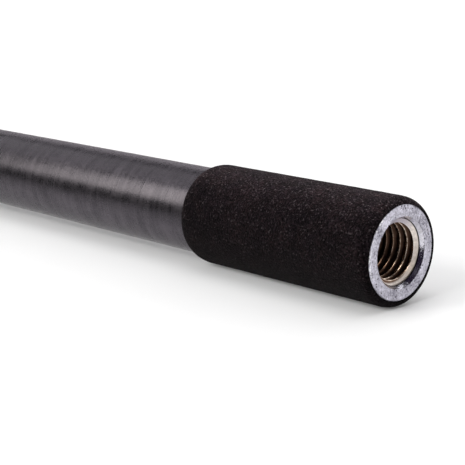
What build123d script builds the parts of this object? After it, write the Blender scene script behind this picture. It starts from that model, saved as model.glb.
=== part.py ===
"""Telescopic roller extension pole with a foam grip and a threaded socket in its butt.

The pole lies along X on the plane z = 0, with its axis AXIS_Z above that plane. The butt, with the
grip and the threaded socket, points along +X, and the threaded tip along -X. A station is a
distance in millimetres from the butt's end face towards the tip.
"""

import os
from math import cos, radians, sin, tan

from build123d import *

# Driving dimensions, in millimetres.
LENGTH = 636.0  # whole pole, pushed together
TUBE_R = 14.0
TUBE_WALL = 1.5
INNER_R = 12.1  # inner tube
INNER_WALL = 1.4
GRIP_R = 16.0
GRIP_START, GRIP_END = 0.1, 76.4
GRIP_ROUND = 1.85  # radius on the foam's outer edges
FLANGE_R = 13.95
FLANGE_END = 3.0
BOND = 0.04  # radial glue line between bonded parts
RUNNING = 0.1  # radial clearance of parts that slide or turn on each other

AXIS_Z = GRIP_R
BUTT_X = LENGTH / 2

# The 3/4 inch thread, ten threads to the inch, of the socket and of the tip.
PITCH = 2.54
SOCKET_MINOR_R = 8.25
SOCKET_MAJOR_R = 9.525
SOCKET_ROOT_FLAT = 0.5
SOCKET_PHASE = -0.7  # station where the groove's first turn starts, ahead of the bush
TIP_CREST_R = 9.4
TIP_ROOT_R = 8.05
TIP_CREST_FLAT = PITCH / 8
FLANK = tan(radians(30))
OVERLAP = 0.2  # how far a swept tooth or groove reaches past the surface that it grows from

# Stations of the socket's parts.
LIP_END = 1.25
MOUTH_R = 10.45
LIP_R = 9.6
SEAM = 0.3  # open groove between the plug's lip and the bush behind it
SEAT_R = 11.02
PLUG_R = TUBE_R - TUBE_WALL - BOND
PLUG_END = 40.0
BUSH_START, BUSH_END = LIP_END + SEAM, 29.5
BUSH_R = SEAT_R - BOND
RELIEF_START, RELIEF_END = 22.6, 25.4
RELIEF_R = SOCKET_MAJOR_R + 0.05
SOCKET_PIN_AT = 15.0
SOCKET_PIN_R = 1.25
SOCKET_PIN_TOP = SOCKET_MAJOR_R + 0.35
END_GAP = 0.1  # endways gap between parts that don't press on each other
RETAINER_START, RETAINER_END = BUSH_END + END_GAP, 36.0
STOP_START, STOP_HEAD, STOP_END = 31.0, 40.2, 45.8
STOP_STEM_R = 2.95
STOP_HEAD_R = PLUG_R - 0.6

# Stations of the clamp.
TUBE_END = 517.0
CLAMP_START = 486.0
SPLIT_START, SPLIT_END = 518.0, 521.0
CLAMP_END = 545.0
CLAMP_R = 17.0
CLAMP_BORE_R = TUBE_R + 0.05
CLAMP_EDGE = 1.2  # radius on its ends
BASE_WIDTH = 24.0
BASE_HEIGHT = 9.0
BASE_INSET = 1.0  # the base is shorter than the clamp by this at each end
SPLIT_LOW = -8.0  # height, from the pole's axis, down to which the band is free of the sleeve
SET_SCREW_AT = 500.0
SET_SCREW_R = 2.0
SET_SCREW_LENGTH = 2.6
HEX_R, HEX_DEPTH = 1.0, 1.5  # the socket in a set screw's head
SLOT = 2.5
SLOT_BOTTOM = 8.0  # height of the slot's lower end above the pole's axis
LINER_RIM = 15.4
LINER_START, LINER_END = SPLIT_START + 0.2, CLAMP_END + 2.4
EAR_OUT = 7.5  # outer faces of the two ears, from the pole's middle plane
EAR_R = 7.5
BOLT_AT = 533.0
BOLT_UP = 22.5  # bolt's height above the pole's axis
BOLT_R = 2.5
BOLT_REACH = 21.5
WASHER = 1.8
NUT_WASHER, NUT_WASHER_R = 1.0, 6.0
SEAT_GAP = 0.05  # gap between an ear and the washer on it
NUT_START, NUT_END = EAR_OUT + NUT_WASHER + 0.15, 19.5
NUT_R = 7.0
NUT_COLLAR = 2.4  # thickness of the nut's plain collar
NUT_RECESS_R, NUT_RECESS = 4.2, 1.0
PIVOT_OUT = 14.5  # lever pivot, from the pole's middle plane
BARREL_R = 3.5
LEVER_WIDTH = 16.4
FORK_GAP = 6.6
FORK_R = 8.6
CAM_R = 4.45
CAM_OFFSET = 0.42
ARM_IN, ARM_OUT = 18.2, 21.5  # lever arm's radii about the pole's axis
ARM_TOP, ARM_BOTTOM, TAB_ANGLE = 47, -32, -40  # degrees up from Y, about the pole's axis
TAB_IN, TAB_OUT = ARM_IN + 1.4, ARM_OUT + 1.6  # radii of the finger tab's corners

# Stations of the inner section.
GUIDE_START = 46.0
RING_START, RING_END = 47.6, 50.4
RING_GROOVE_R = 10.9
RING_SPLIT = 1.6
GUIDE_END = 74.0
GUIDE_WALL = 1.8
STEM_R = INNER_R - INNER_WALL - BOND  # guide plug's stem and tip's shank, inside the inner tube
INNER_START = 52.0
INNER_END = 590.0
FERRULE_START = 560.0
FERRULE_R = 13.7
FERRULE_NECK_R, FERRULE_END_R = 12.0, 11.2
FERRULE_END = 603.0
FLUTE_START = 578.0
SHANK_START, HOLLOW_END = 566.0, 600.0
HOLLOW_R = 6.4
REGISTER_R = 9.6
REGISTER_END = 606.5
TIP_RELIEF_END = 609.0
THREAD_END = 628.5
NOSE_R = 7.6
TIP_PIN_AT = 577.0
TIP_PIN_R = 2.0

POLE_AXIS = Axis((BUTT_X, 0, AXIS_Z), (-1, 0, 0))
LONG_SECTION = Plane(origin=(BUTT_X, 0, AXIS_Z), x_dir=(-1, 0, 0), z_dir=(0, 1, 0))
PIVOT = (PIVOT_OUT, BOLT_UP)


def cross_section(station):
    """A plane across the pole, with its own x along Y, its own y along Z, and its normal towards the butt."""
    return Plane(origin=(BUTT_X - station, 0, AXIS_Z), x_dir=(0, 1, 0), z_dir=(1, 0, 0))


def bolt_section(out):
    """A plane across the clamp's bolt, out along Y, with its own x along -X and its normal along +Y."""
    origin = (BUTT_X - BOLT_AT, out, AXIS_Z + BOLT_UP)
    return Plane(origin=origin, x_dir=(-1, 0, 0), z_dir=(0, 1, 0))


def turned(*outline):
    """Revolves an outline of (station, radius) points about the pole's axis."""
    with BuildSketch(LONG_SECTION) as section:
        with BuildLine():
            Polyline(*outline, close=True)
        make_face()
    revolve(section.sketch, axis=POLE_AXIS)


def ring(start, end, outer, inner=0.0, mode=Mode.ADD):
    """A ring, or a disc, about the pole's axis between two stations."""
    with BuildSketch(cross_section(end)) as section:
        Circle(outer)
        if inner:
            Circle(inner, mode=Mode.SUBTRACT)
    extrude(section.sketch, amount=end - start, mode=mode)


def thread(start, end, root, crest, root_width, crest_width, mode):
    """Sweeps a right-hand helical tooth, or a groove, between two stations and between two radii."""
    mean = (root + crest) / 2
    centre = Vector(BUTT_X - start, 0, AXIS_Z)
    with BuildLine() as helix:
        Helix(PITCH, end - start, mean, center=centre, direction=(-1, 0, 0))
    first = helix.line @ 0
    with BuildSketch(Plane(origin=first, x_dir=first - centre, z_dir=helix.line % 0)) as tooth:
        with BuildLine():
            Polyline(
                (root - mean, -root_width / 2),
                (crest - mean, -crest_width / 2),
                (crest - mean, crest_width / 2),
                (root - mean, root_width / 2),
                close=True,
            )
        make_face()
    sweep(tooth.sketch, path=helix.line, is_frenet=True, mode=mode)


def save(piece, name):
    """Labels a finished piece and writes its STEP file."""
    piece.part.label = name
    export_step(piece.part, f"parts/{name}.step")


def make_outer_tube():
    with BuildPart() as outer_tube:
        ring(FLANGE_END, TUBE_END, TUBE_R, TUBE_R - TUBE_WALL)
    save(outer_tube, "outer_tube")


def make_grip_sleeve():
    with BuildPart() as grip_sleeve:
        ring(GRIP_START, GRIP_END, GRIP_R, TUBE_R + BOND)
        outer_edges = grip_sleeve.edges().filter_by(GeomType.CIRCLE).group_by(SortBy.RADIUS)[-1]
        fillet(outer_edges, GRIP_ROUND)
    save(grip_sleeve, "grip_sleeve")


def socket_pin_hole():
    """The radial hole that takes the pin between plug and bush."""
    plane = Plane(origin=(BUTT_X - SOCKET_PIN_AT, 0, AXIS_Z), z_dir=(0, 0, -1))
    with BuildSketch(plane.offset(SOCKET_PIN_TOP)) as hole:
        Circle(SOCKET_PIN_R)
    extrude(hole.sketch, amount=PLUG_R, mode=Mode.SUBTRACT)


def make_insert_plug():
    edge = 0.35
    lead = 1.0
    with BuildPart() as insert_plug:
        turned(
            (0, MOUTH_R),
            (0, FLANGE_R - edge),
            (edge, FLANGE_R),
            (FLANGE_END, FLANGE_R),
            (FLANGE_END, PLUG_R),
            (PLUG_END - lead, PLUG_R),
            (PLUG_END, PLUG_R - lead),
            (PLUG_END, SEAT_R),
            (LIP_END, SEAT_R),
            (LIP_END, LIP_R),
        )
        socket_pin_hole()
    save(insert_plug, "insert_plug")


def make_thread_bush():
    sink = (LIP_R - SOCKET_MINOR_R) * FLANK
    opening = SOCKET_MINOR_R - OVERLAP
    with BuildPart() as thread_bush:
        turned(
            (BUSH_START, LIP_R),
            (BUSH_START, BUSH_R),
            (BUSH_END, BUSH_R),
            (BUSH_END, SOCKET_MINOR_R),
            (BUSH_START + sink, SOCKET_MINOR_R),
        )
        width = SOCKET_ROOT_FLAT + 2 * (SOCKET_MAJOR_R - opening) * FLANK
        end = (RELIEF_START + RELIEF_END) / 2
        thread(SOCKET_PHASE, end, opening, SOCKET_MAJOR_R, width, SOCKET_ROOT_FLAT, Mode.SUBTRACT)
        ring(RELIEF_START, RELIEF_END, RELIEF_R, mode=Mode.SUBTRACT)
        socket_pin_hole()
    save(thread_bush, "thread_bush")


def make_bush_pin():
    plane = Plane(origin=(BUTT_X - SOCKET_PIN_AT, 0, AXIS_Z), z_dir=(0, 0, -1))
    with BuildPart() as bush_pin:
        with BuildSketch(plane.offset(SOCKET_PIN_TOP + END_GAP)):
            Circle(SOCKET_PIN_R - BOND)
        extrude(amount=PLUG_R - SOCKET_PIN_TOP - 2 * END_GAP)
    save(bush_pin, "bush_pin")


def make_bush_retainer():
    with BuildPart() as bush_retainer:
        ring(RETAINER_START, RETAINER_END, BUSH_R, STOP_STEM_R + BOND)
    save(bush_retainer, "bush_retainer")


def make_bump_stop():
    with BuildPart() as bump_stop:
        ring(STOP_START, STOP_HEAD, STOP_STEM_R)
        ring(STOP_HEAD, STOP_END, STOP_HEAD_R)
        far_edge = bump_stop.edges().group_by(Axis.X)[0]
        fillet(far_edge, (STOP_END - STOP_HEAD) / 4)
    save(bump_stop, "bump_stop")


def make_clamp_body():
    corner = 1.5
    with BuildPart() as clamp_body:
        ring(CLAMP_START, CLAMP_END, CLAMP_R)
        fillet(clamp_body.edges().filter_by(GeomType.CIRCLE), CLAMP_EDGE)
        # The base, flat underneath, stops the pole rolling.
        with BuildSketch(cross_section(CLAMP_END - BASE_INSET)):
            with Locations((0, BASE_HEIGHT / 2 - AXIS_Z)):
                Rectangle(BASE_WIDTH, BASE_HEIGHT)
        extrude(amount=CLAMP_END - CLAMP_START - 2 * BASE_INSET)
        split(bisect_by=Plane.XY, keep=Keep.TOP)
        fillet(clamp_body.edges().filter_by(Axis.X).group_by(Axis.Z)[0], corner)
        # The two ears, still joined.
        with BuildSketch(bolt_section(-EAR_OUT)):
            Circle(EAR_R)
            with Locations((0, -BOLT_UP / 4)):
                Rectangle(2 * EAR_R, BOLT_UP / 2)
        extrude(amount=2 * EAR_OUT)
        root_z = AXIS_Z + (CLAMP_R**2 - EAR_OUT**2) ** 0.5
        along = clamp_body.edges().filter_by(Axis.X)
        fillet(along.filter_by_position(Axis.Z, root_z - 0.1, root_z + 0.1), corner)
        ring(CLAMP_START, CLAMP_END, CLAMP_BORE_R, mode=Mode.SUBTRACT)
        # The slot that lets the band close, through the ears and the top of the band.
        with BuildSketch(cross_section(CLAMP_END)):
            with Locations((0, SLOT_BOTTOM)):
                Rectangle(SLOT, BOLT_UP + EAR_R, align=(Align.CENTER, Align.MIN))
        extrude(amount=CLAMP_END - SPLIT_START, mode=Mode.SUBTRACT)
        # The gap between band and sleeve, which leaves them joined at the base.
        with BuildSketch(cross_section(SPLIT_END)):
            with Locations((0, SPLIT_LOW)):
                Rectangle(3 * CLAMP_R, 2 * CLAMP_R, align=(Align.CENTER, Align.MIN))
        extrude(amount=SPLIT_END - SPLIT_START, mode=Mode.SUBTRACT)
        with BuildSketch(bolt_section(-EAR_OUT)):
            Circle(BOLT_R + RUNNING)
        extrude(amount=2 * EAR_OUT, mode=Mode.SUBTRACT)
        set_screw_holes()
    save(clamp_body, "clamp_body")


def set_screw_holes():
    """Two holes across the clamp's sleeve, one each side."""
    for side in (-1, 1):
        plane = Plane(origin=(BUTT_X - SET_SCREW_AT, 0, AXIS_Z), x_dir=(1, 0, 0), z_dir=(0, side, 0))
        with BuildSketch(plane.offset(CLAMP_BORE_R - 1)) as hole:
            Circle(SET_SCREW_R)
        extrude(hole.sketch, amount=CLAMP_R, mode=Mode.SUBTRACT)


def make_collar_set_screws():
    with BuildPart() as collar_set_screws:
        for side in (-1, 1):
            plane = Plane(origin=(BUTT_X - SET_SCREW_AT, 0, AXIS_Z), x_dir=(1, 0, 0), z_dir=(0, side, 0))
            with BuildSketch(plane.offset(CLAMP_BORE_R)):
                Circle(SET_SCREW_R - BOND)
            extrude(amount=SET_SCREW_LENGTH)
            with BuildSketch(plane.offset(CLAMP_BORE_R + SET_SCREW_LENGTH - HEX_DEPTH)):
                RegularPolygon(HEX_R, 6)
            extrude(amount=HEX_DEPTH, mode=Mode.SUBTRACT)
    save(collar_set_screws, "collar_set_screws")


def make_clamp_liner():
    bore = INNER_R + RUNNING
    rim_start = CLAMP_END + END_GAP
    edge = 0.5
    with BuildPart() as clamp_liner:
        turned(
            (LINER_START, bore),
            (LINER_START, CLAMP_BORE_R - BOND),
            (rim_start, CLAMP_BORE_R - BOND),
            (rim_start, LINER_RIM),
            (LINER_END - edge, LINER_RIM),
            (LINER_END, LINER_RIM - edge),
            (LINER_END, bore + edge),
            (LINER_END - edge, bore),
        )
        with BuildSketch(cross_section(LINER_END)):
            with Locations((0, SLOT_BOTTOM)):
                Rectangle(SLOT, LINER_RIM, align=(Align.CENTER, Align.MIN))
        extrude(amount=LINER_END - LINER_START, mode=Mode.SUBTRACT)
    save(clamp_liner, "clamp_liner")


def make_clamp_bolt():
    edge = 0.5
    with BuildPart() as clamp_bolt:
        with BuildSketch(bolt_section(-BOLT_REACH)):
            Circle(BOLT_R)
        extrude(amount=BOLT_REACH + PIVOT_OUT + BARREL_R - edge)
        chamfer(clamp_bolt.edges().filter_by(GeomType.CIRCLE), edge)
    save(clamp_bolt, "clamp_bolt")


def make_barrel_pin():
    half = LEVER_WIDTH / 2 - 0.2
    with BuildPart() as barrel_pin:
        with BuildSketch(cross_section(BOLT_AT + half)):
            with Locations(PIVOT):
                Circle(BARREL_R)
        extrude(amount=2 * half)
        chamfer(barrel_pin.edges().filter_by(GeomType.CIRCLE), 0.4)
        with BuildSketch(bolt_section(0)):
            Circle(BOLT_R + BOND)
        extrude(amount=2 * PIVOT_OUT, mode=Mode.SUBTRACT)
    save(barrel_pin, "barrel_pin")


def make_cam_washer():
    with BuildPart() as cam_washer:
        with BuildSketch(bolt_section(EAR_OUT + SEAT_GAP)):
            RectangleRounded(2 * EAR_R - 1, 2 * EAR_R - 4, BOLT_R)
        extrude(amount=WASHER)
        with BuildSketch(bolt_section(EAR_OUT)):
            Circle(BOLT_R + RUNNING)
        extrude(amount=2 * WASHER, mode=Mode.SUBTRACT)
    save(cam_washer, "cam_washer")


def at_angle(radius, degrees):
    """A point at a radius about the pole's axis, in a cross section, by its angle up from Y."""
    return (radius * cos(radians(degrees)), radius * sin(radians(degrees)))


def make_clamp_lever():
    side = cross_section(BOLT_AT + LEVER_WIDTH / 2)
    groove_r = 0.9
    with BuildPart() as clamp_lever:
        with BuildSketch(side):
            with BuildLine():
                crown = (PIVOT_OUT + CAM_R + 0.3, BOLT_UP + 0.5)
                shoulder = at_angle(ARM_OUT, 0)
                middle = at_angle(ARM_OUT, ARM_BOTTOM / 2)
                ThreePointArc(shoulder, middle, at_angle(ARM_OUT, ARM_BOTTOM))
                Line(at_angle(ARM_OUT, ARM_BOTTOM), at_angle(TAB_OUT, TAB_ANGLE))
                Line(at_angle(TAB_OUT, TAB_ANGLE), at_angle(TAB_IN, TAB_ANGLE))
                Line(at_angle(TAB_IN, TAB_ANGLE), at_angle(ARM_IN, ARM_BOTTOM))
                ThreePointArc(at_angle(ARM_IN, ARM_BOTTOM), at_angle(ARM_IN, 0), at_angle(ARM_IN, ARM_TOP))
                Line(at_angle(ARM_IN, ARM_TOP), PIVOT)
                Line(PIVOT, crown)
                TangentArc(shoulder, crown, tangent=(0, 1))
            make_face()
            with Locations((PIVOT_OUT - CAM_OFFSET, BOLT_UP)):
                Circle(CAM_R)
        extrude(amount=LEVER_WIDTH)
        fillet(clamp_lever.faces().filter_by(Axis.X).edges(), 0.5)
        # The fork that straddles the bolt.
        with BuildSketch(cross_section(BOLT_AT + FORK_GAP / 2)):
            with Locations(PIVOT):
                Circle(FORK_R)
        extrude(amount=FORK_GAP, mode=Mode.SUBTRACT)
        with BuildSketch(side):
            with Locations(PIVOT):
                Circle(BARREL_R + 0.05)
        extrude(amount=LEVER_WIDTH, mode=Mode.SUBTRACT)
        # Finger grooves across the arm.
        with BuildSketch(side):
            for degrees in range(-30, 4, 6):
                with Locations(at_angle(ARM_OUT + 0.6 * groove_r, degrees)):
                    Circle(groove_r)
        extrude(amount=LEVER_WIDTH, mode=Mode.SUBTRACT)
    save(clamp_lever, "clamp_lever")


def make_nut_washer():
    with BuildPart() as nut_washer:
        with BuildSketch(bolt_section(-EAR_OUT - SEAT_GAP - NUT_WASHER)):
            Circle(NUT_WASHER_R)
            Circle(BOLT_R + RUNNING, mode=Mode.SUBTRACT)
        extrude(amount=NUT_WASHER)
    save(nut_washer, "nut_washer")


def make_thumb_nut():
    flute_r = 0.7
    with BuildPart() as thumb_nut:
        with BuildSketch(bolt_section(-NUT_END)):
            Circle(NUT_R)
        extrude(amount=NUT_END - NUT_START)
        chamfer(thumb_nut.edges().filter_by(GeomType.CIRCLE), 0.7)
        with BuildSketch(bolt_section(-NUT_END)):
            with PolarLocations(NUT_R + 0.25, 20):
                Circle(flute_r)
        extrude(amount=NUT_END - NUT_START - NUT_COLLAR, mode=Mode.SUBTRACT)
        with BuildSketch(bolt_section(-NUT_END)):
            Circle(NUT_RECESS_R)
        extrude(amount=NUT_RECESS, mode=Mode.SUBTRACT)
        with BuildSketch(bolt_section(-NUT_END)):
            Circle(BOLT_R + 0.05)
        extrude(amount=NUT_END, mode=Mode.SUBTRACT)
    save(thumb_nut, "thumb_nut")


def make_inner_tube():
    with BuildPart() as inner_tube:
        ring(INNER_START, INNER_END, INNER_R, INNER_R - INNER_WALL)
        tip_pin_hole(TIP_PIN_R)
    save(inner_tube, "inner_tube")


def make_guide_plug():
    lead = 0.8
    shoulder = INNER_START - 0.05
    hollow_start = INNER_START + 2
    with BuildPart() as guide_plug:
        turned(
            (GUIDE_START, 0),
            (GUIDE_START, INNER_R - lead),
            (GUIDE_START + lead, INNER_R),
            (RING_START, INNER_R),
            (RING_START, RING_GROOVE_R),
            (RING_END, RING_GROOVE_R),
            (RING_END, INNER_R),
            (shoulder, INNER_R),
            (shoulder, STEM_R),
            (GUIDE_END, STEM_R),
            (GUIDE_END, STEM_R - GUIDE_WALL),
            (hollow_start, STEM_R - GUIDE_WALL),
            (hollow_start, 0),
        )
    save(guide_plug, "guide_plug")


def make_guide_ring():
    bore = RING_GROOVE_R + RUNNING
    with BuildPart() as guide_ring:
        ring(RING_START + RUNNING, RING_END - RUNNING, TUBE_R - TUBE_WALL - RUNNING, bore)
        with BuildSketch(cross_section(RING_END)):
            with Locations((0, TUBE_R)):
                Rectangle(RING_SPLIT, TUBE_R)
        extrude(amount=RING_END - RING_START, mode=Mode.SUBTRACT)
    save(guide_ring, "guide_ring")


def tip_pin_hole(radius):
    """The cross hole along Y for the pin that holds the tip."""
    plane = Plane(origin=(BUTT_X - TIP_PIN_AT, 0, AXIS_Z), x_dir=(1, 0, 0), z_dir=(0, 1, 0))
    with BuildSketch(plane.offset(-2 * INNER_R)) as hole:
        Circle(radius)
    extrude(hole.sketch, amount=4 * INNER_R, mode=Mode.SUBTRACT)


def make_tip_ferrule():
    edge = 0.8
    seat = INNER_END + 1.0
    with BuildPart() as tip_ferrule:
        turned(
            (FERRULE_START, INNER_R + BOND),
            (FERRULE_START, FERRULE_R - edge),
            (FERRULE_START + edge, FERRULE_R),
            (INNER_END + 2, FERRULE_R),
            (FERRULE_END - edge, FERRULE_NECK_R),
            (FERRULE_END, FERRULE_END_R),
            (FERRULE_END, REGISTER_R + BOND),
            (seat, REGISTER_R + BOND),
            (seat, INNER_R + BOND),
        )
        # Flutes round the shoulder give a hand or a spanner some hold.
        flute_r = 2.0
        with BuildSketch(cross_section(INNER_END)):
            with PolarLocations(FERRULE_R + 1.3, 12):
                Circle(flute_r)
        extrude(amount=INNER_END - FLUTE_START, mode=Mode.SUBTRACT)
        tip_pin_hole(TIP_PIN_R)
    save(tip_ferrule, "tip_ferrule")


def make_threaded_tip():
    lead, edge = 0.6, 0.3
    shoulder = INNER_END + 0.9
    with BuildPart() as threaded_tip:
        turned(
            (SHANK_START, HOLLOW_R),
            (SHANK_START, STEM_R - lead),
            (SHANK_START + lead, STEM_R),
            (shoulder, STEM_R),
            (shoulder, REGISTER_R),
            (REGISTER_END - edge, REGISTER_R),
            (REGISTER_END, REGISTER_R - edge),
            (REGISTER_END, TIP_ROOT_R),
            (THREAD_END, TIP_ROOT_R),
            (THREAD_END + TIP_ROOT_R - NOSE_R, NOSE_R),
            (LENGTH - 1, NOSE_R),
            (LENGTH, NOSE_R - 1),
            (LENGTH, 0),
            (HOLLOW_END, 0),
            (HOLLOW_END, HOLLOW_R),
        )
        foot = TIP_ROOT_R - OVERLAP
        width = TIP_CREST_FLAT + 2 * (TIP_CREST_R - foot) * FLANK
        end = THREAD_END - PITCH / 2
        thread(TIP_RELIEF_END, end, foot, TIP_CREST_R, width, TIP_CREST_FLAT, Mode.ADD)
        tip_pin_hole(TIP_PIN_R)
    save(threaded_tip, "threaded_tip")


def make_tip_pin():
    plane = Plane(origin=(BUTT_X - TIP_PIN_AT, 0, AXIS_Z), x_dir=(1, 0, 0), z_dir=(0, 1, 0))
    reach = FERRULE_R - 0.25  # its ends stay below the ferrule's surface
    with BuildPart() as tip_pin:
        with BuildSketch(plane.offset(-reach)):
            Circle(TIP_PIN_R - BOND)
        extrude(amount=2 * reach)
        chamfer(tip_pin.edges().filter_by(GeomType.CIRCLE), 0.4)
    save(tip_pin, "tip_pin")


os.makedirs("parts", exist_ok=True)
make_outer_tube()
make_grip_sleeve()
make_insert_plug()
make_thread_bush()
make_bush_pin()
make_bush_retainer()
make_bump_stop()
make_clamp_body()
make_collar_set_screws()
make_clamp_liner()
make_clamp_bolt()
make_barrel_pin()
make_cam_washer()
make_clamp_lever()
make_nut_washer()
make_thumb_nut()
make_inner_tube()
make_guide_plug()
make_guide_ring()
make_tip_ferrule()
make_threaded_tip()
make_tip_pin()
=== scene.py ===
"""Looks of a telescopic roller extension pole: bare carbon tubes, a foam grip round a threaded metal
socket at the butt (+X), and a lever clamp and a threaded tip at the far end (-X)."""

import math

import bmesh
import bpy
from mathutils import Matrix, Vector, noise


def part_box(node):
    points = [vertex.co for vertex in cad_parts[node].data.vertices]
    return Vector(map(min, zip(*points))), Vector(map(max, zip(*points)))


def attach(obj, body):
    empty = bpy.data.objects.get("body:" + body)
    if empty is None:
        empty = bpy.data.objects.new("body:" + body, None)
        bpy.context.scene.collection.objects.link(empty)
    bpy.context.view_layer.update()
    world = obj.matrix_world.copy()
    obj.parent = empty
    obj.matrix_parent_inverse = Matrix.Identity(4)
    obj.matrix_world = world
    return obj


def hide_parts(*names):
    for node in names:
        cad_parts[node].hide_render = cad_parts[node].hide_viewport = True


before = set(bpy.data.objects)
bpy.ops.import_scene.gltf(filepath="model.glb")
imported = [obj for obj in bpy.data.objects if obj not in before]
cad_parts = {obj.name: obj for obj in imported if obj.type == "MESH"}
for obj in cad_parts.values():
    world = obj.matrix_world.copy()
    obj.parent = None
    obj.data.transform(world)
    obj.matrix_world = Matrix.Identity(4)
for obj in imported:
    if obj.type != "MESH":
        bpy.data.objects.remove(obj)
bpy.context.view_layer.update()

MM = 0.001
PER_MM = 1000.0  # for texture scales, in repeats to the millimetre

grip_low, grip_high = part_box("grip_sleeve")
tube_low, tube_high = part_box("outer_tube")
plug_low, plug_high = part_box("insert_plug")
AXIS_Z = (tube_low.z + tube_high.z) / 2
TUBE_R = (tube_high.z - tube_low.z) / 2
GRIP_R = (grip_high.z - grip_low.z) / 2
RIM_R = (plug_high.z - plug_low.z) / 2  # the socket's flange
MOUTH_R = 10.45 * MM  # the mouth's edge on the socket's face
SEAM_R = 9.6 * MM  # the grimy seam between the socket's two metals
CREST_R = 8.25 * MM  # the socket thread's crests
FACE = Vector((plug_high.x, 0, AXIS_Z))  # the middle of the socket's face
LAND_X = FACE.x - 2.3 * MM  # where the socket's countersunk land ends and the thread starts


# ---------------------------------------------------------------- camera, lights and floor

CAMERA_AZIMUTH = math.radians(46.43)
CAMERA_ELEVATION = math.radians(12.66)
CAMERA_LENS = 98.97
# Where the socket's face lies from the camera: to the right, down and ahead.
FACE_FROM_CAMERA = Vector((47.16, 5.74, 356.83)) * MM

CARD_FOOT = 1 * MM  # how far the reflected cards' lower edges are off the floor


def camera_axes():
    """The camera's right, down and forward directions."""
    right = Vector((math.cos(CAMERA_AZIMUTH), math.sin(CAMERA_AZIMUTH), 0))
    level = Vector((-math.sin(CAMERA_AZIMUTH), math.cos(CAMERA_AZIMUTH), 0))
    up = Vector((0, 0, 1))
    forward = level * math.cos(CAMERA_ELEVATION) - up * math.sin(CAMERA_ELEVATION)
    return right, forward.cross(right), forward


def make_camera():
    right, down, forward = camera_axes()
    data = bpy.data.cameras.new("camera")
    data.sensor_width = 36
    data.lens = CAMERA_LENS
    data.clip_start = 0.01
    data.clip_end = 50
    camera = bpy.data.objects.new("camera", data)
    bpy.context.scene.collection.objects.link(camera)
    away = FACE_FROM_CAMERA
    place = FACE - right * away.x - down * away.y - forward * away.z
    turn = Matrix((right, -down, -forward)).transposed()
    camera.matrix_world = Matrix.Translation(place) @ turn.to_4x4()
    bpy.context.scene.camera = camera


def area_light(name, place, target, size, watts, colour=(1, 1, 1), mirrored=True):
    """A soft box; one that isn't mirrored lights rough surfaces but isn't seen in shiny ones."""
    data = bpy.data.lights.new(name, "AREA")
    data.shape = "RECTANGLE"
    data.size, data.size_y = size
    data.energy = watts
    data.color = colour
    light = bpy.data.objects.new(name, data)
    bpy.context.scene.collection.objects.link(light)
    aim = Vector(target) - Vector(place)
    light.matrix_world = Matrix.Translation(place) @ aim.to_track_quat("-Z", "Y").to_matrix().to_4x4()
    light.visible_camera = False
    light.visible_glossy = mirrored


def reflected_card(name, edges):
    """A card that is seen only in reflections, as a photographer puts one beside a shiny object to give
    it a dark edge. It runs from the first edge to the last, and folds at any edge between them."""
    mesh = bpy.data.meshes.new(name)
    points = [point for edge in edges for point in edge]
    faces = [(2 * k, 2 * k + 1, 2 * k + 3, 2 * k + 2) for k in range(len(edges) - 1)]
    mesh.from_pydata(points, [], faces)
    card = bpy.data.objects.new(name, mesh)
    bpy.context.scene.collection.objects.link(card)
    card.visible_camera = False
    card.visible_diffuse = False
    card.visible_shadow = False
    material, tree, shader = new_material(name, 0.9, specular=0.0)
    mesh.materials.append(material)
    return tree, shader


def card_along_pole(name, near_y, far_y, butt_x, top):
    """A reflected card longer than the drawn-out pole, rising from near_y beside it to far_y."""
    tip_x = -1.1
    near_edge = ((tip_x, near_y, CARD_FOOT), (butt_x, near_y, CARD_FOOT))
    far_edge = ((tip_x, far_y, top), (butt_x, far_y, top))
    return reflected_card(name, (near_edge, far_edge))


def card_beside_tube():
    """Lies on the pole's -Y side. It glows faintly next to the tube and fades to black further out."""
    near_y = 0.006
    glow_y = -0.036  # no glow beyond this
    black_y = -0.046  # black beyond this
    black, pale = (0.005, 0.005, 0.005), (0.74, 0.74, 0.75)
    tree, shader = card_along_pole("card_beside_tube", near_y, far_y=-0.27, butt_x=0.28, top=0.075)
    across = axes_of(tree, object_place(tree))["Y"]
    feed(tree, shader, "Base Color", mixed(tree, remap(tree, across, black_y, near_y), black, pale))
    shader.inputs["Emission Color"].default_value = (1, 1, 1, 1)
    feed(tree, shader, "Emission Strength", remap(tree, across, glow_y, 0.0, 0.0, 0.36))


def card_behind_tube():
    """Lies on the pole's +Y side, where it keeps the tube's upper edge from mirroring the white wall."""
    _, shader = card_along_pole("card_behind_tube", near_y=0.03, far_y=0.25, butt_x=0.275, top=0.24)
    shader.inputs["Base Color"].default_value = (0.29, 0.27, 0.29, 1)


def card_before_mouth():
    """Stands in front of the socket, folds over above it, and darkens the lower part of its chamfer."""
    low_y, high_y, over_y = -0.045, -0.16, 0.12
    near_x, far_x, top = 0.34, 0.50, 0.36
    low_edge = ((0.33, low_y, CARD_FOOT), (0.372, low_y, CARD_FOOT))
    high_edge = ((near_x, high_y, top), (far_x, high_y, top))
    over_edge = ((near_x, over_y, top), (far_x, over_y, top))
    _, shader = reflected_card("card_before_mouth", (low_edge, high_edge, over_edge))
    shader.inputs["Base Color"].default_value = (0.012, 0.008, 0.018, 1)


def make_world():
    world = bpy.data.worlds.new("studio")
    bpy.context.scene.world = world
    world.use_nodes = True
    background = world.node_tree.nodes["Background"]
    background.inputs["Color"].default_value = (0.92, 0.9, 1, 1)
    background.inputs["Strength"].default_value = 0.12


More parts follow.
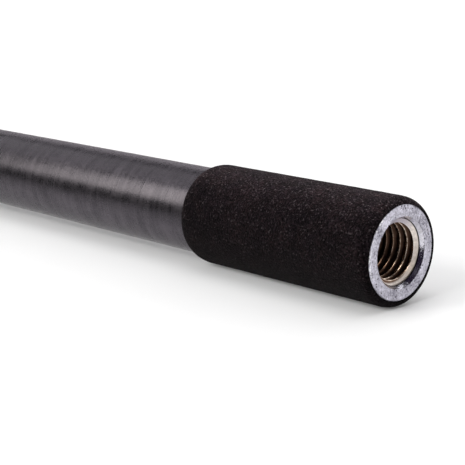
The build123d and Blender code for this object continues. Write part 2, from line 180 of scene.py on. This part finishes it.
def make_lights():
    yellowish, warm = (1, 1, 0.92), (1, 0.93, 0.82)
    beside_pole = (0.19, 0, 0.016)
    area_light("back", (-0.2, 1.1, 1.1), (0.05, 0.05, 0), size=(1.3, 1.15), watts=10.5)
    area_light("left_wall", (-2.2, 0.1, 1.7), (0, 0, 0), size=(1.6, 1.8), watts=3.2)
    area_light("front_top", (-0.42, -0.95, 1.3), (0.15, 0, 0), size=(1.1, 0.8), watts=5)
    area_light("front_left", (-0.25, -0.66, 0.42), beside_pole, (0.8, 0.42), 2.05, yellowish)
    area_light("right", (1.45, 0.1, 0.41), FACE, (0.3, 0.2), 1.0, warm)
    area_light("ceiling", (0.1, 0, 2.0), (0.1, 0, 0), size=(1.5, 1.5), watts=18.5, mirrored=False)
    area_light("key", (0.15, -1.45, 0.78), (0.2, 0, 0), size=(1.0, 0.7), watts=20, mirrored=False)


def make_floor():
    """A pale sheet: flat under the pole and to the front, curving up into a wall far behind it. It glows
    faintly, like a sheet lit from below, and more so far away, so that it looks white all round."""
    reach, wall_y, curve, wall_top = 8.0, 3.0, 0.8, 3.2
    steps = 12
    turns = [math.radians(90 * k / steps) for k in range(steps + 1)]
    profile = [(-reach, 0)]
    profile += [(wall_y + curve * math.sin(t), curve - curve * math.cos(t)) for t in turns]
    profile += [(wall_y + curve, wall_top)]
    points = [(x, y, z) for y, z in profile for x in (-reach, reach)]
    faces = [(2 * k, 2 * k + 1, 2 * k + 3, 2 * k + 2) for k in range(len(profile) - 1)]
    mesh = bpy.data.meshes.new("floor")
    mesh.from_pydata(points, [], faces)
    mesh.shade_smooth()
    floor = bpy.data.objects.new("floor", mesh)
    bpy.context.scene.collection.objects.link(floor)
    material, tree, shader = new_material("floor", 0.8)
    shader.inputs["Base Color"].default_value = (0.72, 0.72, 0.72, 1)
    shader.inputs["Emission Color"].default_value = (1, 1, 1, 1)
    away = add(tree, "ShaderNodeVectorMath", {0: object_place(tree)}, operation="LENGTH").outputs["Value"]
    feed(tree, shader, "Emission Strength", remap(tree, away, 0.6, 2.2, 0.09, 0.95))
    floor.data.materials.append(material)


# ---------------------------------------------------------------- material building blocks


def add(tree, kind, inputs=None, **settings):
    """Adds a shader node; an input is either a value or another node's output."""
    node = tree.nodes.new(kind)
    for key, value in settings.items():
        setattr(node, key, value)
    for key, value in (inputs or {}).items():
        if isinstance(value, bpy.types.NodeSocket):
            tree.links.new(value, node.inputs[key])
        else:
            node.inputs[key].default_value = value
    return node


def new_material(name, roughness, metallic=0.0, specular=0.5):
    """A material, its tree and its shader, with the shader's constant sockets set."""
    material = bpy.data.materials.new(name)
    material.use_nodes = True
    tree = material.node_tree
    shader = tree.nodes["Principled BSDF"]
    shader.inputs["Roughness"].default_value = roughness
    shader.inputs["Metallic"].default_value = metallic
    shader.inputs["Specular IOR Level"].default_value = specular
    return material, tree, shader


def feed(tree, shader, socket, output):
    """Links a node's output to one of the shader's sockets."""
    tree.links.new(output, shader.inputs[socket])


def object_place(tree):
    return add(tree, "ShaderNodeTexCoord").outputs["Object"]


def axes_of(tree, place):
    """A place's X, Y and Z."""
    return add(tree, "ShaderNodeSeparateXYZ", {"Vector": place}).outputs


def stretched(tree, place, x, y, z):
    """A place scaled differently along each axis."""
    return add(tree, "ShaderNodeMapping", {"Vector": place, "Scale": (x, y, z)}).outputs["Vector"]


def noise_value(tree, place, scale, detail=2.0, rough=0.5):
    inputs = {"Vector": place, "Scale": scale, "Detail": detail, "Roughness": rough}
    return add(tree, "ShaderNodeTexNoise", inputs).outputs["Fac"]


def cells(tree, place, scale):
    """The distance from the nearest of many scattered points."""
    inputs = {"Vector": place, "Scale": scale}
    return add(tree, "ShaderNodeTexVoronoi", inputs, feature="F1").outputs["Distance"]


def remap(tree, value, low, high, to_low=0.0, to_high=1.0):
    inputs = {"Value": value, "From Min": low, "From Max": high, "To Min": to_low, "To Max": to_high}
    return add(tree, "ShaderNodeMapRange", inputs, clamp=True).outputs["Result"]


def maths(tree, operation, a, b=0.0):
    return add(tree, "ShaderNodeMath", {0: a, 1: b}, operation=operation).outputs["Value"]


def times(tree, a, b):
    return maths(tree, "MULTIPLY", a, b)


def weighted(tree, *terms):
    """The sum of (value, weight) pairs' products."""
    total = 0.0
    for value, weight in terms:
        total = maths(tree, "ADD", total, times(tree, value, weight))
    return total


def mixed(tree, factor, a, b):
    """A colour between a and b."""
    mix = add(tree, "ShaderNodeMix", {"Factor": factor}, data_type="RGBA")
    colour_a, colour_b, colour_result = 6, 7, 2  # the Mix node's sockets of type colour
    for key, value in ((colour_a, a), (colour_b, b)):
        if isinstance(value, bpy.types.NodeSocket):
            tree.links.new(value, mix.inputs[key])
        else:
            mix.inputs[key].default_value = (*value, 1)
    return mix.outputs[colour_result]


def bump(tree, shader, height, depth):
    """Bumps of a depth in metres, for a height from 0 to 1."""
    inputs = {"Height": height, "Distance": depth, "Strength": 1.0}
    feed(tree, shader, "Normal", add(tree, "ShaderNodeBump", inputs).outputs["Normal"])


def round_the_axis(tree, place):
    """A place's distance from the pole's axis, its angle from +Y round it, and its X."""
    axes = axes_of(tree, place)
    up = maths(tree, "SUBTRACT", axes["Z"], AXIS_Z)
    square = maths(tree, "ADD", maths(tree, "POWER", axes["Y"], 2.0), maths(tree, "POWER", up, 2.0))
    return maths(tree, "SQRT", square), maths(tree, "ARCTAN2", up, axes["Y"]), axes["X"]


def near_angle(tree, angle, centre, low, high):
    """From 0 to 1 as the angle nears a centre, in degrees; low and high are cosines of the difference."""
    closeness = maths(tree, "COSINE", maths(tree, "SUBTRACT", angle, math.radians(centre)))
    return remap(tree, closeness, low, high)


# ---------------------------------------------------------------- materials


def carbon(name, streaks, mottling):
    """Tape-wrapped carbon composite: fine rings round the tube, slanting wrap lines and cloudy resin."""
    material, tree, shader = new_material(name, 0.4, 0.95)
    place = object_place(tree)
    rings = noise_value(tree, stretched(tree, place, 1.5 * PER_MM, 70, 70), 1.0, 3.0, 0.6)
    broad = noise_value(tree, stretched(tree, place, 0.3 * PER_MM, 30, 30), 1.0, 3.0)
    clouds = noise_value(tree, stretched(tree, place, 160, 260, 260), 1.0, 5.0, 0.62)
    speckle = noise_value(tree, place, 1.6 * PER_MM, 2.0, 0.7)
    _, angle, along = round_the_axis(tree, place)
    wraps = weighted(tree, (along, 0.08 * PER_MM), (angle, 1 / math.tau))
    wrap_edge = remap(tree, maths(tree, "PINGPONG", wraps, 0.5), 0.0, 0.02, 1.0, 0.0)
    tone = remap(tree, weighted(tree, (rings, streaks), (clouds, mottling), (broad, 0.4)), 0.45, 0.9)
    feed(tree, shader, "Base Color", mixed(tree, tone, (0.090, 0.081, 0.094), (0.207, 0.185, 0.208)))
    rough = weighted(tree, (rings, 0.3), (clouds, 0.3), (speckle, 0.4))
    feed(tree, shader, "Roughness", remap(tree, rough, 0.35, 0.65, 0.20, 0.38))
    height = weighted(tree, (rings, 0.4), (clouds, 0.5), (speckle, 0.35), (wrap_edge, 0.3))
    bump(tree, shader, height, 0.05 * MM)
    return material


def painted_foam_shade(tree, place):
    """Painted light and shade for the foam: a factor on its colour, lighter on top and darker below,
    standing in for how the light falls on it.
    """
    up = axes_of(tree, place)["Z"]
    shoulder = 0.6 * GRIP_R
    # painted shade on the lower part, painted light on the top
    painted_shade_below = remap(tree, up, AXIS_Z - shoulder, AXIS_Z + shoulder, 0.45, 0.95)
    painted_light_on_top = remap(tree, up, AXIS_Z + shoulder, AXIS_Z + GRIP_R, 0.0, 1.5)
    return maths(tree, "ADD", painted_shade_below, painted_light_on_top)


def foam():
    """Ground closed-cell foam: near black, with dark open cells and rims that catch the light."""
    material, tree, shader = new_material("grip_foam", 0.9, specular=0.05)
    shader.inputs["Sheen Weight"].default_value = 0.02
    shader.inputs["Sheen Roughness"].default_value = 0.4
    shader.inputs["Sheen Tint"].default_value = (1, 0.92, 0.94, 1)
    place = object_place(tree)
    cell = remap(tree, cells(tree, place, 1.7 * PER_MM), 0.2, 0.62)
    grain = remap(tree, noise_value(tree, place, 1.5 * PER_MM, 3.0, 0.7), 0.36, 0.64)
    patches = remap(tree, noise_value(tree, place, 110, 4.0, 0.6), 0.3, 0.7)
    tints = remap(tree, noise_value(tree, place, 260, 2.0), 0.4, 0.6)
    specks = remap(tree, noise_value(tree, place, 1.7 * PER_MM, 1.5), 0.60, 0.72)
    brown = mixed(tree, patches, (0.0080, 0.0054, 0.0064), (0.0275, 0.0165, 0.0185))
    base = mixed(tree, times(tree, tints, 0.5), brown, (0.0145, 0.0103, 0.0143))
    cut = mixed(tree, times(tree, cell, grain), (0.0008, 0.0005, 0.0007), base)
    colour = mixed(tree, times(tree, specks, 0.5), cut, (0.095, 0.078, 0.083))
    # scales the foam's colour by the painted light and shade
    shaded = {0: colour, "Scale": painted_foam_shade(tree, place)}
    colour = add(tree, "ShaderNodeVectorMath", shaded, operation="SCALE").outputs["Vector"]
    feed(tree, shader, "Base Color", colour)
    bump(tree, shader, weighted(tree, (cell, 0.6), (grain, 0.5)), 0.35 * MM)
    return material


def alloy_pits(tree, place):
    """Small round pits, gathered in some areas."""
    pits = remap(tree, cells(tree, place, 0.95 * PER_MM), 0.14, 0.32, 1.0, 0.0)
    kept = remap(tree, noise_value(tree, place, 0.22 * PER_MM, 1.0), 0.49, 0.53)
    return times(tree, pits, kept)


def alloy_scratches(tree, place):
    scratches = noise_value(tree, stretched(tree, place, 300, 260, 2600), 1.0, 2.0)
    return times(tree, remap(tree, scratches, 0.62, 0.70), 0.5)


def alloy_scuffs(tree, place, angle):
    """Dark scuffs on the upper part of the flange's +Y side."""
    scuffs = noise_value(tree, stretched(tree, place, 900, 1900, 800), 1.0, 3.0, 0.7)
    scuffs = remap(tree, scuffs, 0.52, 0.60)
    return times(tree, times(tree, scuffs, near_angle(tree, angle, 35, 0.4, 1.0)), 0.75)


def rim_chips_and_highlight(tree, place, radius, angle):
    """Bright chips on the upper part of the rim's -Y side, partly real chips and partly a painted
    highlight along that stretch of rim.
    """
    chips_and_highlight = remap(tree, noise_value(tree, place, 1.1 * PER_MM, 1.0), 0.48, 0.54)
    chips_and_highlight = times(tree, chips_and_highlight, remap(tree, radius, RIM_R - 0.9 * MM, RIM_R - 0.5 * MM))
    return times(tree, chips_and_highlight, near_angle(tree, angle, 155, 0.6, 0.95))


def turned_alloy():
    """Turned aluminium: a frosted satin face with wear on it, bright rim chips that are partly a painted
    highlight, a chamfer at the mouth whose colour is painted brighter as a painted highlight, and grime
    in the seam behind the chamfer."""
    material, tree, shader = new_material("insert_alloy", 0.34, 1.0)
    place = object_place(tree)
    radius, angle, along = round_the_axis(tree, place)
    cloud = remap(tree, noise_value(tree, place, 260, 4.0, 0.6), 0.3, 0.7)
    frost = remap(tree, noise_value(tree, place, 1.5 * PER_MM, 2.0, 0.7), 0.32, 0.68)
    tone = weighted(tree, (cloud, 0.5), (frost, 0.5))
    pits = alloy_pits(tree, place)
    chamfer = remap(tree, radius, MOUTH_R, MOUTH_R - 0.1 * MM)
    seam = remap(tree, radius, SEAM_R, SEAM_R + 0.08 * MM, 1.0, 0.0)

    colour = mixed(tree, tone, (0.07, 0.065, 0.09), (0.80, 0.78, 0.88))
    colour = mixed(tree, alloy_scratches(tree, place), colour, (0.16, 0.15, 0.19))
    colour = mixed(tree, alloy_scuffs(tree, place, angle), colour, (0.10, 0.09, 0.11))
    colour = mixed(tree, pits, colour, (0.04, 0.035, 0.05))
    # bright rim chips, partly a painted highlight along the rim
    colour = mixed(tree, rim_chips_and_highlight(tree, place, radius, angle), colour, (1.0, 1.0, 1.0))
    # painted highlight: the chamfer's colour is lightened towards white
    colour = mixed(tree, times(tree, chamfer, 0.5), colour, (0.95, 0.93, 1.0))
    colour = mixed(tree, seam, colour, (0.02, 0.018, 0.02))
    feed(tree, shader, "Base Color", colour)

    spread = times(tree, maths(tree, "ADD", radius, along), 9 * PER_MM)
    lathe_place = add(tree, "ShaderNodeCombineXYZ", {"X": spread, "Y": angle}).outputs["Vector"]
    tool_marks = times(tree, noise_value(tree, lathe_place, 1.0, 2.0), 0.08)
    rough = maths(tree, "ADD", remap(tree, tone, 0.2, 0.8, 0.2, 0.4), tool_marks)
    rough = times(tree, rough, remap(tree, chamfer, 0.0, 1.0, 1.0, 0.5))
    feed(tree, shader, "Roughness", rough)
    bump(tree, shader, weighted(tree, (frost, 0.25), (pits, -0.8)), 0.06 * MM)
    return material


def tapped_brass():
    """Pale worn metal on the land at the mouth, with painted shade greying its top. Behind it the
    thread's grooves are stained dark brown, and the crests are rubbed bright, darker further in: partly
    less wear and partly painted shade deeper in the bore."""
    material, tree, shader = new_material("bush_metal", 0.2, 1.0)
    place = object_place(tree)
    radius, angle, along = round_the_axis(tree, place)
    inside = remap(tree, along, LAND_X, LAND_X - 0.3 * MM)
    wear = noise_value(tree, place, 0.6 * PER_MM, 3.0, 0.6)
    patchy = remap(tree, wear, 0.3, 0.7)

    groove = remap(tree, radius, CREST_R + 0.04 * MM, CREST_R + 0.30 * MM)
    # partly less wear, partly painted shade: the crests darken further into the bore
    inward_wear_and_shade = remap(tree, along, LAND_X - 9 * MM, LAND_X - 1.5 * MM, 0.9, 0.0)
    rubs = remap(tree, noise_value(tree, place, 1.5 * PER_MM, 2.0, 0.7), 0.38, 0.62)
    rubbed = mixed(tree, rubs, (0.26, 0.18, 0.13), (0.98, 0.84, 0.70))
    stain = mixed(tree, wear, (0.085, 0.044, 0.032), (0.21, 0.122, 0.082))
    thread = mixed(tree, groove, mixed(tree, inward_wear_and_shade, rubbed, stain), stain)

    # painted shade: the land's colour is greyed towards its top
    top = remap(tree, maths(tree, "SINE", angle), 0.6, 0.95, 0.0, 0.85)
    seam = remap(tree, radius, SEAM_R - 0.12 * MM, SEAM_R)
    land = mixed(tree, patchy, (0.52, 0.46, 0.42), (0.90, 0.82, 0.76))
    land = mixed(tree, top, land, (0.45, 0.41, 0.47))
    land = mixed(tree, seam, land, (0.03, 0.024, 0.02))
    feed(tree, shader, "Base Color", mixed(tree, inside, land, thread))

    rough = maths(tree, "ADD", remap(tree, wear, 0.3, 0.7, 0.12, 0.3), times(tree, groove, 0.25))
    feed(tree, shader, "Roughness", rough)
    chatter = noise_value(tree, stretched(tree, place, 5 * PER_MM, 200, 200), 1.0, 2.0)
    bump(tree, shader, chatter, 0.03 * MM)
    return material


def moulded(name, colour, lighter, roughness, grain):
    """Moulded plastic or rubber with a fine texture, its grain in millimetres, and lighter patches."""
    material, tree, shader = new_material(name, roughness)
    place = object_place(tree)
    fine = noise_value(tree, place, 5 * PER_MM, 3.0, 0.6)
    broad = remap(tree, noise_value(tree, place, 160, 4.0, 0.6), 0.35, 0.7)
    feed(tree, shader, "Base Color", mixed(tree, broad, colour, lighter))
    feed(tree, shader, "Roughness", remap(tree, fine, 0.2, 0.8, roughness - 0.07, roughness + 0.1))
    bump(tree, shader, fine, grain * MM)
    return material


def machined(name, colour, darker, roughness):
    """Machined metal with fine tool marks and faint stains."""
    material, tree, shader = new_material(name, roughness, 1.0)
    place = object_place(tree)
    marks = noise_value(tree, place, 2 * PER_MM, 3.0, 0.6)
    broad = remap(tree, noise_value(tree, place, 240, 3.0), 0.35, 0.7)
    feed(tree, shader, "Base Color", mixed(tree, broad, colour, darker))
    feed(tree, shader, "Roughness", remap(tree, marks, 0.3, 0.7, roughness - 0.07, roughness + 0.1))
    bump(tree, shader, marks, 0.012 * MM)
    return material


# ---------------------------------------------------------------- pieces


def lathe(name, profile, segments, ruffle):
    """Turns a closed (x, radius) profile round the pole's axis; ruffle moves each point outwards."""
    mesh = bpy.data.meshes.new(name)
    points = []
    for x, radius in profile:
        for k in range(segments):
            angle = math.tau * k / segments
            out = Vector((0, math.cos(angle), math.sin(angle)))
            place = Vector((x, 0, AXIS_Z)) + out * radius
            points.append(place + out * ruffle(place, radius))
    faces = []
    rows = len(profile)
    for row in range(rows):
        for k in range(segments):
            a = row * segments + k
            b = row * segments + (k + 1) % segments
            c = (row + 1) % rows * segments + (k + 1) % segments
            d = (row + 1) % rows * segments + k
            faces.append((a, b, c, d))
    mesh.from_pydata(points, [], faces)
    mesh.shade_smooth()
    piece = bpy.data.objects.new(name, mesh)
    bpy.context.scene.collection.objects.link(piece)
    shape = bmesh.new()
    shape.from_mesh(mesh)
    bmesh.ops.recalc_face_normals(shape, faces=shape.faces)
    shape.to_mesh(mesh)
    shape.free()
    return piece


def quarter(centre, reach, start, count):
    """Points on a quarter of an ellipse, from start degrees on."""
    turns = [math.radians(start + 90 * k / count) for k in range(count + 1)]
    return [(centre[0] + reach[0] * math.cos(t), centre[1] + reach[1] * math.sin(t)) for t in turns]


def make_grip():
    """The foam sleeve. Its front end rounds over slightly unevenly, its far end in a longer curve."""
    front, back = grip_high.x, grip_low.x
    inner = TUBE_R + 0.04 * MM  # just clear of the tube
    surface = GRIP_R - 0.06 * MM  # leaves room for the lumps within the CAD sleeve
    front_reach = Vector((3.2, 1.85)) * MM
    back_reach = Vector((4.2, 1.85)) * MM
    front_centre = (front - front_reach.x, surface - front_reach.y)
    back_centre = (back + back_reach.x, surface - back_reach.y)
    straight = front_centre[0] - back_centre[0]
    spacing = 0.36 * MM
    steps = round(straight / spacing)
    profile = quarter(front_centre, front_reach, start=0, count=12)
    profile += [(front_centre[0] - straight * k / steps, surface) for k in range(1, steps)]
    profile += quarter(back_centre, back_reach, start=90, count=14)
    profile += [(back, inner), (front, inner)]
    fade = 2.5 * MM  # how far back the front end's unevenness reaches
    lumps = ((90, 0.05), (420, 0.035), (1500, 0.03))  # repeats to the metre, height in millimetres

    def ruffle(place, radius):
        if radius <= inner:
            return 0.0
        out = (place - Vector((place.x, 0, AXIS_Z))).normalized()
        uneven = (0.2 * out.y - 0.3 * out.z) * math.exp((place.x - front) / fade)
        return (uneven + sum(noise.noise(place * scale) * height for scale, height in lumps)) * MM

    grip = lathe("grip_foam", profile, segments=280, ruffle=ruffle)
    grip.data.materials.append(foam())
    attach(grip, "outer_section")
    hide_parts("grip_sleeve")


def dress(material, *nodes):
    """Gives CAD nodes a material in place of their flat one."""
    for node in nodes:
        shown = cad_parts[node]
        for k in range(len(shown.material_slots)):
            shown.material_slots[k].material = material


def dress_tubes_and_socket():
    dress(carbon("outer_carbon", streaks=0.45, mottling=0.5), "outer_tube")
    dress(carbon("inner_carbon", streaks=0.3, mottling=0.3), "inner_tube")
    dress(turned_alloy(), "insert_plug")
    dress(tapped_brass(), "thread_bush")


def dress_plastics():
    nylon = moulded("clamp_nylon", (0.018, 0.018, 0.019), (0.03, 0.03, 0.032), 0.5, grain=0.03)
    dress(nylon, "clamp_body", "guide_plug", "tip_ferrule")
    tip_nylon = moulded("tip_nylon", (0.02, 0.02, 0.022), (0.035, 0.035, 0.038), 0.42, grain=0.015)
    dress(tip_nylon, "threaded_tip")
    acetal = moulded("acetal", (0.55, 0.54, 0.5), (0.66, 0.65, 0.62), 0.4, grain=0.01)
    dress(acetal, "clamp_liner", "guide_ring", "bush_retainer")
    rubber = moulded("buffer_rubber", (0.015, 0.015, 0.015), (0.03, 0.03, 0.03), 0.7, grain=0.03)
    dress(rubber, "bump_stop")


def dress_clamp_metals():
    dress(machined("lever_alloy", (0.10, 0.10, 0.11), (0.075, 0.075, 0.085), 0.34), "clamp_lever")
    dress(machined("nut_alloy", (0.55, 0.55, 0.57), (0.44, 0.44, 0.46), 0.3), "thumb_nut")
    steel = machined("steel", (0.62, 0.61, 0.58), (0.45, 0.44, 0.42), 0.3)
    dress(steel, "clamp_bolt", "barrel_pin", "cam_washer", "nut_washer", "collar_set_screws")
    dress(steel, "tip_pin", "bush_pin")


make_camera()
make_world()
make_lights()
card_beside_tube()
card_behind_tube()
card_before_mouth()
make_floor()
make_grip()
dress_tubes_and_socket()
dress_plastics()
dress_clamp_metals()

bpy.context.scene.view_settings.view_transform = "Standard"
